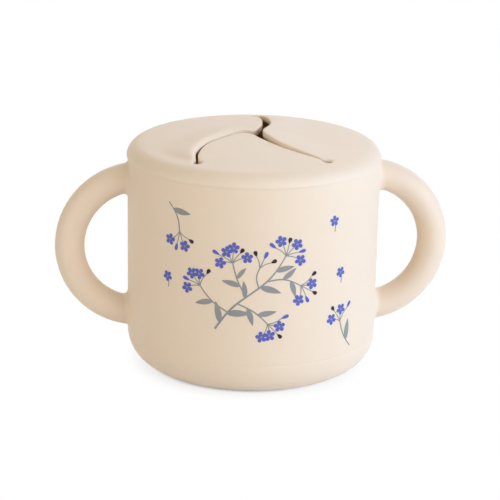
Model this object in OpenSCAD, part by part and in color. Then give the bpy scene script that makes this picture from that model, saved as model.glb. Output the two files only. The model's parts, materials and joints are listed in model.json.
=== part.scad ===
// Toddler snack container: a soft cup with two loop handles and a domed lid. Three curved
// slits cut the lid's crown into flaps, so that a small hand goes in and the snacks stay in.
// The origin is the centre of the base, on the surface that the cup stands on.
// X runs through both handles, and Y runs from front to back.

/* [Cup] */
// Outside radius of the cup at its rim
cup_rim_r = 43.6; // [38:0.2:50]
// How much narrower the cup is where its base corner starts
cup_taper = 0.2; // [0:0.1:3]
// Height of the rim, on which the lid sits
rim_z = 73.4; // [68:0.2:100]
// Thickness of the wall
cup_wall = 2.6; // [1.6:0.1:4]
// Thickness of the floor
cup_floor = 3.2; // [2:0.1:6]
// How far the rounded base corner reaches in
base_corner_w = 10.5; // [6:0.5:14]
// How far the rounded base corner reaches up
base_corner_h = 11.4; // [7:0.2:14]
// Rounding of the edges that meet at the rim
rim_soft = 0.5; // [0.2:0.1:0.8]
// Height of the fine mould line above the top of the base corner
mould_line_gap = 0.4; // [0.2:0.1:3]
// Width of the mould line
mould_line_w = 0.8; // [0.4:0.1:1.5]
// Depth of the mould line
mould_line_d = 0.2; // [0.1:0.05:0.4]

/* [Handles] */
// Radius of a handle's centre line
handle_ring_r = 24; // [20:0.5:26]
// Thickness of a handle
handle_tube_d = 10.4; // [7:0.2:13]
// How far the centre of a handle's ring lies inside the rim's outside radius
handle_set_in = 3.6; // [0:0.2:8]
// Gap between the rim and the top of a handle
handle_top_gap = 1.2; // [0.6:0.1:5]

/* [Lid] */
// How far the lid stands out past the cup's rim
lid_overhang = 0.4; // [0:0.1:1]
// How far the lid's rounded edge reaches in
lid_corner_w = 5.8; // [4.5:0.1:8]
// How far the lid's rounded edge reaches up
lid_corner_h = 5; // [4.5:0.1:7]
// Slope of the crown where it meets the rounded edge, in degrees
crown_slope = 8.4; // [4:0.2:12]
// Thickness of the crown
lid_t = 2.4; // [1.8:0.1:3]
// How far the ring under the lid reaches down into the cup
plug_depth = 6; // [4:0.5:10]
// Thickness of the ring under the lid
plug_t = 1.8; // [1.2:0.1:2.4]
// Clearance between that ring and the cup's wall
plug_clear = 0.3; // [0.2:0.05:0.6]
// Rounding between that ring and the underside of the crown
plug_fillet = 2; // [1:0.1:2.4]

/* [Slits] */
// Width of each slit
slit_w = 0.6; // [0.5:0.05:0.8]
// Diameter of the hole that ends each slit
slit_hole_d = 2; // [1.2:0.1:2.6]
// Distance of those holes from the cup's axis
slit_hole_r = 35.4; // [32:0.1:36]
// Direction of the front left hole, in degrees from +X
front_left_angle = -129.5; // [-136:0.1:-124]
// Direction of the front right hole, in degrees from +X
front_right_angle = -53.2; // [-58:0.1:-46]
// Direction of the back hole, in degrees from +X
back_angle = 83; // [76:0.1:90]
// How far the front left slit bows out from its chord
front_left_bow = 7.3; // [6.5:0.1:10]
// How far the front right slit bows out from its chord
front_right_bow = 3.9; // [3.5:0.1:7]
// How far the back slit bows out from its chord
back_bow = 6; // [4.5:0.1:8]
// Place along X where the slits meet
meet_x = 0.5; // [-2:0.1:2]
// Place along Y where the slits meet
meet_y = 0; // [-2:0.1:2]
// How much wider the back slit is in its middle
back_gap = 2; // [0:0.1:2.5]
// Width of the opening that the right flap leaves where the slits meet
opening_w = 4.1; // [3:0.1:5]
// Radius of the right flap's edge along that opening
opening_edge_r = 31; // [28:0.5:36]

/* [Flap hinges] */
// Clearance round the roll of each flap's hinge
hinge_clear = 0.3; // [0.2:0.05:0.4]
// Least reach of a flap from its hinge line, at the ends of that line
flap_reach = 5; // [4.6:0.1:6]

/* [Hidden] */
$fn = 96;
silicone = [0.89, 0.83, 0.75];
silicone_handle = [0.87, 0.80, 0.71];
silicone_flap = [0.92, 0.87, 0.80];
steps = 9;      // pieces that a rounded corner's outline is made of
past = 1;       // how far a cutter runs past what it cuts
LEFT = -1;      // side of a handle
RIGHT = 1;

cup_foot_r = cup_rim_r - cup_taper;
base_flat_r = cup_foot_r - base_corner_w;
mould_line_z = base_corner_h + mould_line_gap;
rim_in_r = cup_rim_r - cup_wall;

handle_out_r = handle_ring_r + handle_tube_d / 2;
handle_x = cup_rim_r - handle_set_in;
handle_z = rim_z - handle_top_gap - handle_out_r;

lid_r = cup_rim_r + lid_overhang;
// The rounded edge stops where it is as steep as the crown
edge_turn = atan(lid_corner_h / (lid_corner_w * tan(crown_slope)));
crown_r = lid_r - lid_corner_w * (1 - cos(edge_turn));
crown_edge_z = rim_z + lid_corner_h * sin(edge_turn);
crown_rise = crown_r * tan(crown_slope) / 2;
plug_r = rim_in_r - plug_clear;
plug_in_r = plug_r - plug_t;
plug_z = rim_z - plug_depth;
plug_soft = plug_t / 3;

// Slits: each runs on an arc from its hole to the meeting point, and bows to its own left.
// Flap i lies between slit i and the next one.
slit_angle = [front_left_angle, front_right_angle, back_angle];
slit_bow = [front_left_bow, front_right_bow, back_bow];
meet = [meet_x, meet_y];
FRONT = 0;
RIGHTWARD = 1;
LEFTWARD = 2;

function next(i) = (i + 1) % len(slit_angle);
function along(turn) = [cos(turn), sin(turn)];
function left_of(v) = [-v.y, v.x];
function heading(v) = atan2(v.y, v.x);

function hole(i) = slit_hole_r * along(slit_angle[i]);
function chord(i) = meet - hole(i);
function arc_r(i, less = 0) =
    let (bow = slit_bow[i] - less) (pow(norm(chord(i)), 2) / 4 + pow(bow, 2)) / (2 * bow);
function arc_centre(i, less = 0) =
    hole(i) + chord(i) / 2
    + left_of(chord(i)) / norm(chord(i)) * (slit_bow[i] - less - arc_r(i, less));

// Hinge lines: flap i turns about the line from hole i that just touches the next slit's arc
function to_arc(i) = arc_centre(next(i)) - hole(i);
function hinge_turn(i) = heading(to_arc(i)) - asin(arc_r(next(i)) / norm(to_arc(i)));
function touch_length(i) = sqrt(pow(norm(to_arc(i)), 2) - pow(arc_r(next(i)), 2));
// Angle at the hole between the hinge line and the slit
function flap_angle(i) =
    heading(chord(i)) + asin(norm(chord(i)) / 2 / arc_r(i)) - hinge_turn(i);
function hinge_start(i) = max(0, flap_reach / tan(flap_angle(i)));
function hinge_end(i) = touch_length(i) - sqrt(2 * arc_r(next(i)) * flap_reach);

// The crown is domed and a hinge line is straight, so the roll is as thick as the crown and
// as much more as the crown rises along the line.
function crown_drop(r) = crown_rise * pow(r / crown_r, 2);
function crown_z(r) = crown_edge_z + crown_rise - crown_drop(r);
function hinge_nearest(i) = -hole(i) * along(hinge_turn(i));
function hinge_radius(i, s) = norm(hole(i) + s * along(hinge_turn(i)));
function hinge_high(i) = crown_z(hinge_radius(i, hinge_nearest(i)));
function hinge_low(i) =
    crown_z(max(hinge_radius(i, hinge_start(i)), hinge_radius(i, hinge_end(i))));
function hinge_z(i) = (hinge_high(i) + hinge_low(i) - lid_t) / 2;
function roll_r(i) = (hinge_high(i) - hinge_low(i) + lid_t) / 2;

// Points of a quarter of an ellipse, or of a part of it, between two turns
function bend(centre, w, h, from, to, n = steps) =
    [for (k = [0 : n])
        let (turn = from + (to - from) * k / n)
        centre + [w * cos(turn), h * sin(turn)]];

function cup_r_at(z) = cup_foot_r + cup_taper * (z - base_corner_h) / (rim_z - base_corner_h);

function cup_outside() = concat(
    [[0, 0]],
    bend([base_flat_r, base_corner_h], base_corner_w, base_corner_h, -90, 0),
    [[cup_r_at(mould_line_z - mould_line_w / 2), mould_line_z - mould_line_w / 2],
     [cup_r_at(mould_line_z) - mould_line_d, mould_line_z],
     [cup_r_at(mould_line_z + mould_line_w / 2), mould_line_z + mould_line_w / 2]],
    bend([cup_rim_r - rim_soft, rim_z - rim_soft], rim_soft, rim_soft, 0, 90, 3));

function cup_inside() = concat(
    bend([rim_in_r + rim_soft, rim_z - rim_soft], rim_soft, rim_soft, 90, 180, 3),
    bend([base_flat_r, base_corner_h],
         base_corner_w - cup_wall, base_corner_h - cup_floor, 0, -90),
    [[0, cup_floor]]);

function lid_outside() = concat(
    [[lid_r - rim_soft, rim_z]],
    bend([lid_r - lid_corner_w, rim_z], lid_corner_w, lid_corner_h,
         asin(rim_soft / lid_corner_h), edge_turn),
    [for (k = [steps - 1 : -1 : 0]) [crown_r * k / steps, crown_z(crown_r * k / steps)]]);

function lid_inside() =
    let (flat_r = plug_in_r - plug_fillet, flat_z = crown_z(flat_r) - lid_t)
    concat(
        [for (k = [0 : steps - 1])
            [flat_r * k / steps, crown_z(flat_r * k / steps) - lid_t]],
        bend([flat_r, flat_z - plug_fillet], plug_fillet, plug_fillet, 90, 0, 5),
        [[plug_in_r, plug_z + plug_soft],
         [plug_in_r + plug_soft, plug_z],
         [plug_r - plug_soft, plug_z],
         [plug_r, plug_z + plug_soft],
         [plug_r, rim_z]]);

// The cup
module cup_blank() {
    rotate_extrude() polygon(concat(cup_outside(), [[0, rim_z]]));
}

module cup_shell() {
    color(silicone)
    rotate_extrude() polygon(concat(cup_outside(), cup_inside()));
}

// A handle is a round ring, and the cup takes away what would lie inside its wall
module handle(side) {
    color(silicone_handle)
    difference() {
        translate([side * handle_x, 0, handle_z])
        rotate([90, 0, 0])
        rotate_extrude() translate([handle_ring_r, 0]) circle(d = handle_tube_d);

        cup_blank();
        translate([0, 0, -past]) cylinder(r = base_flat_r, h = rim_z + past);
    }
}

// The lid
module lid_blank() {
    rotate_extrude() polygon(concat(lid_outside(), lid_inside()));
}

// A column over a round area of the crown
module column(centre, r) {
    translate([centre.x, centre.y, plug_z - past])
    cylinder(r = r, h = crown_z(0) - plug_z + 2 * past);
}

module hinge_frame(i) {
    translate([hole(i).x, hole(i).y, 0]) rotate([0, 0, hinge_turn(i)]) children();
}

// Everything over flap i, out to the slits' middle lines, or further by grow
module flap_area(i, grow) {
    side_cut = flap_angle(i) > 90 ? lid_r : grow - hinge_start(i);
    intersection() {
        difference() {
            column(arc_centre(i), arc_r(i) + grow);
            column(arc_centre(next(i)), arc_r(next(i)) - grow);
        }
        hinge_frame(i)
        translate([-side_cut, 0, plug_z - past])
        cube([hinge_end(i) + grow + side_cut, 2 * lid_r, crown_z(0) - plug_z + 2 * past]);
    }
}

// What the wide back slit and the opening in the middle leave of a flap's area
module beside_opening(i) {
    if (i == FRONT)
        column([0, 0], lid_r);
    if (i == RIGHTWARD)
        column(meet + [opening_w + opening_edge_r, 0], opening_edge_r);
    if (i == LEFTWARD)
        column(arc_centre(i, back_gap), arc_r(i, back_gap) - slit_w / 2);
}

module hinge_roll(i, grow) {
    hinge_frame(i)
    translate([hinge_start(i) - grow, 0, hinge_z(i)])
    rotate([0, 90, 0])
    cylinder(r = roll_r(i) + grow, h = hinge_end(i) - hinge_start(i) + 2 * grow);
}

// The arc of slit i, from its hole to the meeting point
module slit(i) {
    intersection() {
        difference() {
            column(arc_centre(i), arc_r(i) + slit_w / 2);
            column(arc_centre(i), arc_r(i) - slit_w / 2);
        }
        translate([hole(i).x, hole(i).y, plug_z - past])
        rotate([0, 0, heading(chord(i))])
        cube([norm(chord(i)), 2 * slit_bow[i], crown_z(0) - plug_z + 2 * past]);
    }
}

module slit_holes() {
    for (i = [FRONT, RIGHTWARD, LEFTWARD])
        column(hole(i), slit_hole_d / 2);
}

module lid_rim() {
    color(silicone)
    difference() {
        lid_blank();
        for (i = [FRONT, RIGHTWARD, LEFTWARD]) {
            flap_area(i, slit_w / 2);
            hinge_roll(i, hinge_clear);
            slit(i);
        }
        slit_holes();
    }
}

module flap(i) {
    color(silicone_flap)
    difference() {
        intersection() {
            lid_blank();
            union() {
                intersection() {
                    flap_area(i, -slit_w / 2);
                    beside_opening(i);
                }
                hinge_roll(i, 0);
            }
        }
        slit_holes();
    }
}

module left_handle() {
    handle(LEFT);
}

module right_handle() {
    handle(RIGHT);
}

module front_flap() {
    flap(FRONT);
}

module right_flap() {
    flap(RIGHTWARD);
}

module left_flap() {
    flap(LEFTWARD);
}

cup_shell();
left_handle();
right_handle();
lid_rim();
front_flap();
right_flap();
left_flap();
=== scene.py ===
"""The look of a toddler's snack container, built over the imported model.

All lengths inside the shape functions are in millimetres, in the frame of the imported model:
the origin is the centre of the base, X runs through both handles and the front faces -Y.
"""

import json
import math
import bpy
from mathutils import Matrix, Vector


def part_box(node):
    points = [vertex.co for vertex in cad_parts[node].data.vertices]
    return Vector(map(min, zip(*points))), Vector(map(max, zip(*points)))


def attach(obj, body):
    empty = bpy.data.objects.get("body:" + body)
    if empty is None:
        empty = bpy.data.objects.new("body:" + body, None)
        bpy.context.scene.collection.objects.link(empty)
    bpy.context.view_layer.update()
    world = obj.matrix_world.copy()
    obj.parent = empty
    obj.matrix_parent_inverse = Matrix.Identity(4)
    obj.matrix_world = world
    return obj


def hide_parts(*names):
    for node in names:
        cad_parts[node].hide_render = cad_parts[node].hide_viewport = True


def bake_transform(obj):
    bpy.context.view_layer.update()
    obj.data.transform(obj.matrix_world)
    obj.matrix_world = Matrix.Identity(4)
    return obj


bl_info = {
    "name": "Toddler snack container",
    "version": (1, 0, 0),
    "blender": (4, 5, 0),
    "location": "3D View > Sidebar > Snack cup",
    "description": "Builds the soft cup, its handles, its slit lid, its print and a stage",
    "category": "Object",
}

import bpy
import numpy as np
from mathutils import Matrix, Vector
from mathutils.geometry import delaunay_2d_cdt

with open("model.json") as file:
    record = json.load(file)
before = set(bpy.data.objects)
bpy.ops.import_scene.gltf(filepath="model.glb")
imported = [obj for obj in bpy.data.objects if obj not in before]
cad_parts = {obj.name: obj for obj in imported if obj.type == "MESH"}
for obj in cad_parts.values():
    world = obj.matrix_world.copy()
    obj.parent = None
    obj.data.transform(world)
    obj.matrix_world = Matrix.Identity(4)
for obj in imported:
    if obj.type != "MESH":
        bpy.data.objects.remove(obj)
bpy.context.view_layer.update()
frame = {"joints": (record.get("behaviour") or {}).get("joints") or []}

MM = 0.001
RIM_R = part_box("cup_shell")[1].x
RIM_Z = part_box("cup_shell")[1].z
LID_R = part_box("lid_rim")[1].x
HANDLE_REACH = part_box("right_handle")[1].x


# Sizes, colours and lights that a user may change


class SNACKCUP_PG_cup(bpy.types.PropertyGroup):
    rim_radius: bpy.props.FloatProperty(
        name="Rim radius", description="Outside radius of the cup at its rim",
        default=RIM_R, unit="LENGTH", precision=4)
    rim_height: bpy.props.FloatProperty(
        name="Rim height", description="Height of the rim that the lid sits on",
        default=RIM_Z, unit="LENGTH", precision=4)
    wall: bpy.props.FloatProperty(
        name="Wall", description="Thickness of the cup's wall",
        default=2.6 * MM, unit="LENGTH", precision=4)
    floor: bpy.props.FloatProperty(
        name="Floor", description="Thickness of the cup's floor",
        default=3.2 * MM, unit="LENGTH", precision=4)
    corner_width: bpy.props.FloatProperty(
        name="Corner width", description="How far the rounded base corner reaches in",
        default=10.5 * MM, unit="LENGTH", precision=4)
    corner_height: bpy.props.FloatProperty(
        name="Corner height", description="How far the rounded base corner reaches up",
        default=11.4 * MM, unit="LENGTH", precision=4)
    line_depth: bpy.props.FloatProperty(
        name="Mould line depth", description="Depth of the fine line above the base corner",
        default=0.07 * MM, unit="LENGTH", precision=5)


class SNACKCUP_PG_handles(bpy.types.PropertyGroup):
    ring_radius: bpy.props.FloatProperty(
        name="Ring radius", description="Radius of a handle's centre line",
        default=24.3 * MM, unit="LENGTH", precision=4)
    thickness: bpy.props.FloatProperty(
        name="Thickness", description="Diameter of a handle's section",
        default=10.2 * MM, unit="LENGTH", precision=4)
    reach: bpy.props.FloatProperty(
        name="Reach", description="How far a handle reaches out from the cup's axis",
        default=HANDLE_REACH - 0.4 * MM, unit="LENGTH", precision=4)
    height: bpy.props.FloatProperty(
        name="Height", description="Height of the middle of a handle",
        default=42.4 * MM, unit="LENGTH", precision=4)
    root: bpy.props.FloatProperty(
        name="Root", description="Rounding where a handle grows out of the wall",
        default=2.3 * MM, unit="LENGTH", precision=4)


class SNACKCUP_PG_lid(bpy.types.PropertyGroup):
    radius: bpy.props.FloatProperty(
        name="Radius", description="Outside radius of the lid",
        default=LID_R, unit="LENGTH", precision=4)
    thickness: bpy.props.FloatProperty(
        name="Thickness", description="Thickness of the crown",
        default=2.4 * MM, unit="LENGTH", precision=4)
    hole_radius: bpy.props.FloatProperty(
        name="Hole radius", description="Radius of the hole that ends each slit",
        default=1.4 * MM, unit="LENGTH", precision=4)
    slit_gap: bpy.props.FloatProperty(
        name="Slit gap", description="Width of a slit where its sides nearly touch",
        default=0.25 * MM, unit="LENGTH", precision=5)
    left_lift: bpy.props.FloatProperty(
        name="Left lift", description="How far the left flap's edge stands up",
        default=1.2 * MM, unit="LENGTH", precision=4)
    right_lift: bpy.props.FloatProperty(
        name="Right lift", description="How far the right flap's edge stands up",
        default=1.2 * MM, unit="LENGTH", precision=4)
    front_sag: bpy.props.FloatProperty(
        name="Front sag", description="How far the front flap's edge sags",
        default=0.2 * MM, unit="LENGTH", precision=4)


class SNACKCUP_PG_finish(bpy.types.PropertyGroup):
    cup_colour: bpy.props.FloatVectorProperty(
        name="Cup", description="Colour of the cup's silicone", subtype="COLOR",
        size=3, min=0, max=1, default=(0.80, 0.665, 0.535))
    lid_colour: bpy.props.FloatVectorProperty(
        name="Lid", description="Colour of the lid's silicone", subtype="COLOR",
        size=3, min=0, max=1, default=(0.80, 0.675, 0.555))
    blue: bpy.props.FloatVectorProperty(
        name="Blue ink", description="Colour of the print's blossoms", subtype="COLOR",
        size=3, min=0, max=1, default=(0.095, 0.115, 0.43))
    grey: bpy.props.FloatVectorProperty(
        name="Grey ink", description="Colour of the print's leaves and stems",
        subtype="COLOR", size=3, min=0, max=1, default=(0.27, 0.265, 0.27))
    dark: bpy.props.FloatVectorProperty(
        name="Dark ink", description="Colour of the print's berries", subtype="COLOR",
        size=3, min=0, max=1, default=(0.032, 0.016, 0.024))
    # Painted glow: an emission colour on the cup's inner wall that stands in for light coming
    # through the silicone into the dark cup
    painted_inner_glow: bpy.props.FloatVectorProperty(
        name="Inner glow", description="Light that comes through the wall into the cup",
        subtype="COLOR", size=3, min=0, max=1, default=(0.026, 0.011, 0.006))
    grain: bpy.props.FloatProperty(
        name="Grain", description="Strength of the silicone's fine matt grain",
        min=0, max=1, default=0.12)


class SNACKCUP_PG_stage(bpy.types.PropertyGroup):
    key_power: bpy.props.FloatProperty(
        name="Key light", description="Power of the soft light from the front right",
        default=5.2, min=0, unit="POWER")
    side_power: bpy.props.FloatProperty(
        name="Side light", description="Power of the cool soft light from the right side",
        default=7.9, min=0, unit="POWER")
    fill_power: bpy.props.FloatProperty(
        name="Fill light", description="Power of the soft light from the front left",
        default=3.6, min=0, unit="POWER")
    back_power: bpy.props.FloatProperty(
        name="Back light", description="Power of the soft light from behind",
        default=3.9, min=0, unit="POWER")
    top_power: bpy.props.FloatProperty(
        name="Top light", description="Power of the soft light from above",
        default=0.6, min=0, unit="POWER")
    ambient: bpy.props.FloatProperty(
        name="Ambient", description="Strength of the warm light from all round",
        default=0.36, min=0, max=1)
    floor_shade: bpy.props.FloatProperty(
        name="Floor shade", description="How much of the object's shadow the floor shows",
        default=0.24, min=0, max=0.3)


class SNACKCUP_PG_all(bpy.types.PropertyGroup):
    cup: bpy.props.PointerProperty(
        name="Cup", description="Sizes of the cup", type=SNACKCUP_PG_cup)
    handles: bpy.props.PointerProperty(
        name="Handles", description="Sizes of the handles", type=SNACKCUP_PG_handles)
    lid: bpy.props.PointerProperty(
        name="Lid", description="Sizes of the lid and its flaps", type=SNACKCUP_PG_lid)
    finish: bpy.props.PointerProperty(
        name="Finish", description="Colours and grain", type=SNACKCUP_PG_finish)
    stage: bpy.props.PointerProperty(
        name="Stage", description="Lights and floor", type=SNACKCUP_PG_stage)


# Materials


# How fine each noise is, in waves to the metre
DRIFT, MOTTLE, DUST, INK_DUST, GRAIN = 28, 190, 620, 900, 3400
# Where the painted glow lies in the cup's hollow, in metres: in the middle of the wall it starts
# at the first radius and is full at the second, and above the floor likewise with the heights
HOLLOW_RADII = (0.0422, 0.0416)
HOLLOW_HEIGHTS = (0.012, 0.03)


class Wire:
    """A value in a material's nodes; arithmetic on it adds Math nodes."""

    def __init__(self, finish, socket):
        self.finish = finish
        self.socket = socket

    def __add__(self, other):
        return self.finish.maths("ADD", self, other)

    __radd__ = __add__

    def __sub__(self, other):
        return self.finish.maths("SUBTRACT", self, other)

    def __rsub__(self, other):
        return self.finish.maths("SUBTRACT", other, self)

    def __mul__(self, other):
        return self.finish.maths("MULTIPLY", self, other)

    __rmul__ = __mul__


class Made:
    """A node that was made, whose outputs come back as wires."""

    def __init__(self, finish, node):
        self.finish = finish
        self.node = node

    def __getitem__(self, name):
        return Wire(self.finish, self.node.outputs[name])


class Finish:
    """Builds the nodes of one material or of the world."""

    def __init__(self, owner):
        owner.use_nodes = True
        self.tree = owner.node_tree
        self.tree.nodes.clear()

    def node(self, kind, settings=None, inputs=None):
        node = self.tree.nodes.new(kind)
        for name, value in (settings or {}).items():
            setattr(node, name, value)
        for name, value in (inputs or {}).items():
            if isinstance(value, Wire):
                self.tree.links.new(value.socket, node.inputs[name])
            else:
                node.inputs[name].default_value = value
        return Made(self, node)

    def maths(self, operation, a, b):
        return self.node("ShaderNodeMath", {"operation": operation}, {0: a, 1: b})["Value"]

    def blend_colours(self, factor, a, b):
        made = self.node(
            "ShaderNodeMix", {"data_type": "RGBA"}, {"Factor": factor, 6: a, 7: b})
        return Wire(self, made.node.outputs[2])

    def noise(self, where, scale, detail, roughness=0.5):
        return self.node(
            "ShaderNodeTexNoise", None,
            {"Vector": where, "Scale": scale, "Detail": detail,
             "Roughness": roughness})["Fac"]


def shade(colour, factor):
    """A colour made lighter or darker, with the fourth value that a socket wants."""
    return tuple(min(1, c * factor) for c in colour) + (1,)


def silicone(name, colour, grain, painted_inner_glow=None):
    """Matt silicone: a fine grain, a slow drift in tone, a faint uneven sheen and, when a glow
    colour is given, a painted glow on the cup's inner wall.
    """
    material = bpy.data.materials.new(name)
    finish = Finish(material)
    where = finish.node("ShaderNodeTexCoord")["Object"]
    drift = finish.noise(where, DRIFT, 2)
    mottle = finish.noise(where, MOTTLE, 3)
    tone = finish.blend_colours(
        drift * 0.7 + mottle * 0.3, shade(colour, 0.975), shade(colour, 1.02))
    dust = finish.noise(where, DUST, 4, 0.65)
    fine = finish.noise(where, GRAIN, 2)
    bump = finish.node(
        "ShaderNodeBump", None,
        {"Strength": grain, "Distance": 0.00012, "Height": fine * 0.75 + dust * 0.25})
    inputs = {"Base Color": tone, "Roughness": 0.5 + dust * 0.14, "IOR": 1.41,
              "Specular IOR Level": 0.5, "Subsurface Weight": 0.35,
              "Subsurface Radius": (1.0, 0.6, 0.4), "Subsurface Scale": 0.0012,
              "Sheen Weight": 0.1, "Sheen Roughness": 0.5, "Normal": bump["Normal"]}
    # Painted glow: emission on the cup's inner wall, standing in for light that comes through
    # the silicone into the dark cup
    if painted_inner_glow:
        painted_glow_mask = in_the_hollow(finish, where)
        inputs["Emission Color"] = finish.blend_colours(
            painted_glow_mask, (0, 0, 0, 1), shade(painted_inner_glow, 1))
        inputs["Emission Strength"] = 1
    surface = finish.node("ShaderNodeBsdfPrincipled", None, inputs)
    finish.node("ShaderNodeOutputMaterial", None, {"Surface": surface["BSDF"]})
    return material


def in_the_hollow(finish, where):
    """1 on the cup's inner wall, fading to 0 towards the floor, and 0 outside the wall: the mask
    of the painted glow.
    """
    flat = finish.node(
        "ShaderNodeVectorMath", {"operation": "MULTIPLY"}, {0: where, 1: (1, 1, 0)})["Vector"]
    away = finish.node("ShaderNodeVectorMath", {"operation": "LENGTH"}, {0: flat})["Value"]
    height = finish.node("ShaderNodeSeparateXYZ", None, {"Vector": where})["Z"]
    within, above = (
        finish.node("ShaderNodeMapRange", None,
                    {"Value": value, "From Min": none, "From Max": full})["Result"]
        for value, (none, full) in ((away, HOLLOW_RADII), (height, HOLLOW_HEIGHTS)))
    return within * above


def ink(name, colour):
    """Printed ink: a little lighter where it lies thin, and a touch smoother than the cup."""
    material = bpy.data.materials.new(name)
    finish = Finish(material)
    where = finish.node("ShaderNodeTexCoord")["Object"]
    thin = finish.noise(where, INK_DUST, 3, 0.6)
    tone = finish.blend_colours(thin, shade(colour, 0.9), shade(colour, 1.16))
    bump = finish.node(
        "ShaderNodeBump", None,
        {"Strength": 0.1, "Distance": 0.00005, "Height": finish.noise(where, GRAIN, 2)})
    surface = finish.node(
        "ShaderNodeBsdfPrincipled", None,
        {"Base Color": tone, "Roughness": 0.44 + thin * 0.1, "IOR": 1.45,
         "Specular IOR Level": 0.3, "Normal": bump["Normal"]})
    finish.node("ShaderNodeOutputMaterial", None, {"Surface": surface["BSDF"]})
    return material


# Mesh helpers


def mesh_object(name, points, faces, material, crease=50):
    """A smooth-shaded object from points in millimetres, with edges sharper than crease."""
    mesh = bpy.data.meshes.new(name)
    mesh.from_pydata([tuple(p) for p in np.asarray(points) * MM], [], faces)
    mesh.validate()
    mesh.shade_smooth()
    mesh.set_sharp_from_angle(angle=math.radians(crease))
    mesh.materials.append(material)
    made = bpy.data.objects.new(name, mesh)
    bpy.context.scene.collection.objects.link(made)
    return made


def quarter(centre, w, h, start, end, steps):
    """Points of an elliptical bend between two angles in degrees."""
    return [
        (centre[0] + w * math.cos(math.radians(a)), centre[1] + h * math.sin(math.radians(a)))
        for a in np.linspace(start, end, steps + 1)
    ]


def lathe(outline, turns):
    """Points and faces of an outline of (r, z) turned round Z; ends on the axis are closed."""
    points, rings = [], []
    for r, z in outline:
        if r < 1e-6:
            rings.append([len(points)] * turns)
            points.append((0, 0, z))
        else:
            rings.append(list(range(len(points), len(points) + turns)))
            points += [
                (r * math.cos(a), r * math.sin(a), z)
                for a in np.arange(turns) * 2 * math.pi / turns
            ]
    faces = []
    for low, high in zip(rings, rings[1:]):
        for k in range(turns):
            n = (k + 1) % turns
            corners = [low[k], low[n], high[n], high[k]]
            faces.append(tuple(dict.fromkeys(corners)))
    return points, faces


def spline(points, step):
    """A smooth curve through points, sampled at about step millimetres."""
    points = np.asarray(points, float)
    chord = np.concatenate([[0], np.cumsum(np.linalg.norm(np.diff(points, axis=0), axis=1))])
    n = len(points)
    gap = np.diff(chord)
    system = np.eye(n)
    right = np.zeros((n, 2))
    for k in range(1, n - 1):
        system[k, k - 1 : k + 2] = gap[k - 1], 2 * (gap[k - 1] + gap[k]), gap[k]
        right[k] = 6 * (
            (points[k + 1] - points[k]) / gap[k] - (points[k] - points[k - 1]) / gap[k - 1])
    bend = np.linalg.solve(system, right)
    at = np.linspace(0, chord[-1], 40 * n)
    seg = np.clip(np.searchsorted(chord, at, side="right") - 1, 0, n - 2)
    a = (chord[seg + 1] - at)[:, None]
    b = (at - chord[seg])[:, None]
    h = gap[seg][:, None]
    curve = (
        bend[seg] * a**3 / (6 * h) + bend[seg + 1] * b**3 / (6 * h)
        + (points[seg] / h - bend[seg] * h / 6) * a
        + (points[seg + 1] / h - bend[seg + 1] * h / 6) * b)
    run = np.concatenate([[0], np.cumsum(np.linalg.norm(np.diff(curve, axis=0), axis=1))])
    ends = np.linspace(0, run[-1], max(3, int(round(run[-1] / step)) + 1))
    return np.stack([np.interp(ends, run, curve[:, k]) for k in (0, 1)], 1), ends


def right_of(curve):
    """Unit normals to the right of a curve's heading."""
    ahead = np.gradient(curve, axis=0)
    ahead /= np.linalg.norm(ahead, axis=1)[:, None]
    return np.stack([ahead[:, 1], -ahead[:, 0]], 1)


def inside(points, polygon):
    """Which points lie inside a closed polygon."""
    x, y = points[:, 0][:, None], points[:, 1][:, None]
    x0, y0 = polygon[:, 0][None], polygon[:, 1][None]
    x1, y1 = np.roll(x0, -1, 1), np.roll(y0, -1, 1)
    crosses = (y0 > y) != (y1 > y)
    with np.errstate(divide="ignore", invalid="ignore"):
        at = x0 + (y - y0) / (y1 - y0) * (x1 - x0)
    return (crosses & (x < at)).sum(1) % 2 == 1


# The cup


CUP_TAPER = 0.2  # how much narrower the cup is at its base corner
RIM_SOFT = 0.22  # rounding of the edges that meet at the seam under the lid
LINE_GAP = 0.4  # height of the mould line over the base corner
LINE_HALF = 0.4  # half the width of the mould line
TURNS = 192  # points round the cup and the lid

HANDLE_AROUND = 48  # points round a handle's section
LOOP_RINGS = 62
ROOT_RINGS = 7
ROOT_PULL = 0.75  # how strongly the rounding of a root is drawn into its corner
ROOT_LOSS = 0.55  # share of that rounding that is missing on the loop's outer side
ROOT_SUNK = 0.012  # depth of the rounding's edge in the wall
ROOT_BURIED = 1.2  # depth of a handle's closed ends in the wall


def sizes(group):
    """A property group's lengths in millimetres, by name."""
    return {k: getattr(group, k) / MM for k in group.bl_rna.properties.keys()
            if isinstance(getattr(group, k, None), float)}


def wall_radius(cup, z):
    """Outside radius of the cup at a height."""
    foot = cup["rim_radius"] - CUP_TAPER
    low, high = cup["corner_height"], cup["rim_height"]
    return foot + CUP_TAPER * min(1, max(0, (z - low) / (high - low)))


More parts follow.
